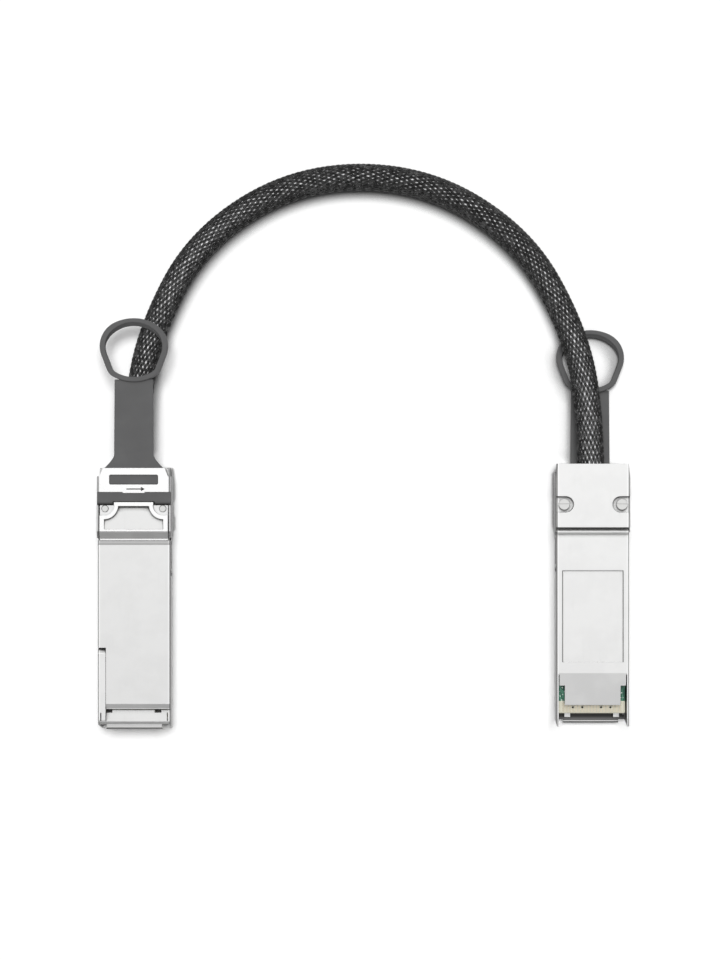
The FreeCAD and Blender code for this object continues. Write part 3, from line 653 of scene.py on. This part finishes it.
def stations(route, step):
    """Distance, place and two crosswise directions at even steps along the route's own line."""
    line = as_mesh(route)
    points = [v.co.copy() for v in line.vertices]
    bpy.data.meshes.remove(line)
    reach = [0.0]
    for a, b in zip(points, points[1:]):
        reach.append(reach[-1] + (b - a).length)
    count = round(reach[-1] / step)
    found, k, across = [], 0, Vector((1, 0, 0))
    for n in range(count + 1):
        d = reach[-1] * n / count
        while k < len(points) - 2 and reach[k + 1] < d:
            k += 1
        run = points[k + 1] - points[k]
        ahead = run.normalized()
        across = (across - ahead * across.dot(ahead)).normalized()
        place = points[k] + run * ((d - reach[k]) / (reach[k + 1] - reach[k]))
        found.append((d, place, across, ahead.cross(across)))
    return found


def filament(line, carrier, strand, hand):
    """Points of one filament: it winds round the cable and passes over and under the others."""
    middle = CABLE_DIAMETER / 2 - FILAMENT_RADIUS - CRIMP
    lean = (1 + (tau * middle / LAY) ** 2) ** 0.5
    aside = (strand - (FILAMENTS - 1) / 2) * FILAMENT_PITCH * lean / middle
    start = tau * carrier / CARRIERS + aside
    share = WANDER * cos(WANDER_SHARE * carrier)
    for d, place, across, up in line:
        stray = share * sin(tau * d / WANDER_WAVE + WANDER_PHASE * carrier + hand)
        turn = start + hand * tau * d / LAY + stray
        height = middle + hand * CRIMP * cos(tau * CARRIERS * d / LAY)
        yield place + (across * cos(turn) + up * sin(turn)) * height


def braid_layer(name, line, carriers, hand):
    """All filaments of these carriers, as one mesh."""
    windings = [(carrier, strand) for carrier in carriers for strand in range(FILAMENTS)]
    curve = new_curve(name, "POLY", len(windings), len(line))
    curve.bevel_depth = FILAMENT_RADIUS
    curve.bevel_resolution = 0
    for spline, (carrier, strand) in zip(curve.splines, windings):
        lay_out(spline, filament(line, carrier, strand, hand))
    shaper = linked(bpy.data.objects.new(name, curve))
    mesh = as_mesh(shaper)
    bpy.data.objects.remove(shaper)
    return linked(bpy.data.objects.new(name, mesh))


def braided_cable():
    """The foil core with its braided sleeve, in place of the two plain rods."""
    core = route_curve()
    line = stations(core, STEP)
    core.data.bevel_depth = FOIL_RADIUS
    core.data.bevel_resolution = 6
    core.data.materials.append(crinkled_foil())
    black = black_filament()
    layers = []
    for hand, word in ((1, "right"), (-1, "left")):
        for half in (0, 1):
            carriers = range(half, CARRIERS, 2)
            layer = braid_layer(f"sleeve_{word}_turn_{half}", line, carriers, hand)
            layer.data.materials.append(black)
            layers.append(layer)
    for piece, slot in [(core, "pair_foil")] + [(layer, "braid") for layer in layers]:
        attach(piece, SHELLS)
    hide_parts("cable_core")
    for layer in layers:
        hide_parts("cable_sleeve")


# ---------------------------------------------------------------- studio
def table():
    """A white table, with contact shade on the inner side of the plugs, straps and cable."""
    bm = bmesh.new()
    bmesh.ops.create_grid(bm, x_segments=1, y_segments=1, size=TABLE_HALF)
    mesh = bpy.data.meshes.new("table")
    bm.to_mesh(mesh)
    bm.free()
    finish = Finish("table_white", Roughness=1.0, Specular_IOR_Level=0.0)
    outward = finish.node("ShaderNodeVectorMath", {"operation": "SCALE"},
                          {0: finish.place(), "Scale": CONTACT_LEAN}, "Vector")
    behind_plugs = (finish.axis("Y") - PLUG_REAR).rise(0.0, CONTACT_GROWS)
    reach = CONTACT_AT_PLUGS + CONTACT_REACH * behind_plugs
    finish.feed(Base_Color=finish.tint(CONTACT_TONE, WHITE, finish.sheltered(reach, outward)))
    mesh.materials.append(finish.material)
    linked(bpy.data.objects.new("table", mesh))


def overhead_lamp():
    """A broad lamp far overhead, a little behind the plugs.  Shiny things see the sky instead."""
    lamp = bpy.data.lights.new("overhead", "SUN")
    lamp.angle, lamp.energy = KEY_SPREAD, KEY_STRENGTH
    stand = linked(bpy.data.objects.new("overhead", lamp))
    stand.location = KEY_FROM
    stand.rotation_euler = Vector(KEY_FROM).to_track_quat("Z", "Y").to_euler()
    stand.visible_glossy = False


def studio_air():
    """White to the camera; to shiny things, a sky that darkens away from its brightest part.

    To all else it is an even fill.
    """
    world = bpy.data.worlds.new("studio_air")
    bpy.context.scene.world = world
    world.use_nodes = True
    air = Graph(world.node_tree)
    facing = air.dot(air.node("ShaderNodeTexCoord", output="Generated"), SKY_BRIGHTEST)
    sky = SKY_LOW + SKY_RISE * facing.most(0.0) ** SKY_GATHER
    seen = air.node("ShaderNodeLightPath", output="Is Camera Ray")
    shiny = air.node("ShaderNodeLightPath", output="Is Glossy Ray")
    background = world.node_tree.nodes["Background"]
    air.join(background.inputs["Color"], (*WHITE, 1.0))
    air.join(background.inputs["Strength"],
             seen + (1 - seen) * (shiny * sky + (1 - shiny) * FILL))


def camera():
    lens = bpy.data.cameras.new("camera")
    lens.lens, lens.sensor_width = CAMERA_LENS, CAMERA_SENSOR
    eye = linked(bpy.data.objects.new("camera", lens))
    eye.location = CAMERA_PLACE
    bpy.context.scene.camera = eye


dress_nodes()
press_springs()
braided_cable()
table()
studio_air()
overhead_lamp()
camera()
bpy.context.scene.view_settings.view_transform = "Standard"
